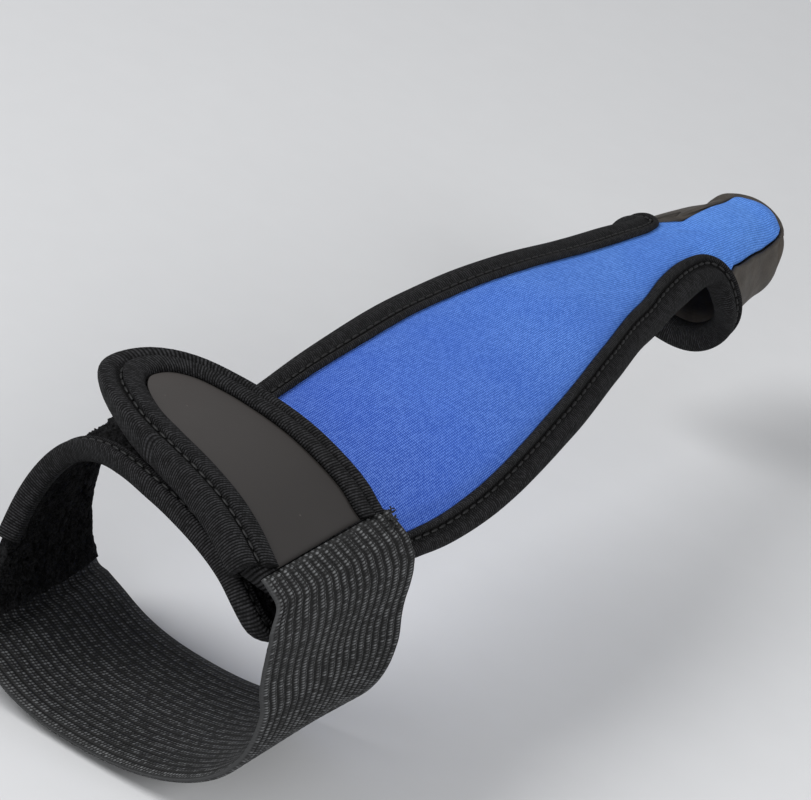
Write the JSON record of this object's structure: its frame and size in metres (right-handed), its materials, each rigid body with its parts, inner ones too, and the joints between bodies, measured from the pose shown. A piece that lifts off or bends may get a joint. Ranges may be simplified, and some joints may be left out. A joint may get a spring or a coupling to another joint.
{
  "type": "single finger fishing glove",
  "caption": "Left-hand glove with a neoprene back panel, a leather-faced index finger stall and a wrist strap with a hook-and-loop tab.",
  "frame": {"origin": "centre of the wrist loop", "axes": "+Y from the wrist to the fingertip, +Z out of the back of the hand, +X to the thumb side"},
  "size_m": [0.063, 0.2035, 0.0546],
  "materials": {
    "blue_neoprene": "matt knit over neoprene",
    "pad_leather": "matt mottled leather",
    "black_tape": "fine ribbed tape",
    "loop_pile": "fuzzy loop pile",
    "hook_tape": "hooked plastic",
    "black_fabric": "matt padded fabric",
    "grey_rubber": "soft sheen",
    "black_elastic": "ribbed elastic webbing"
  },
  "bodies": {
    "root": {"back_panel": "blue_neoprene", "finger_pad": "pad_leather", "edge_binding": "black_tape", "loop_band": "loop_pile", "band_binding": "black_tape", "hook_patch": "hook_tape", "closure_tab": "black_fabric", "tab_face": "grey_rubber", "tab_binding": "black_tape", "elastic_strap": "black_elastic"}
  },
  "joints": []
}
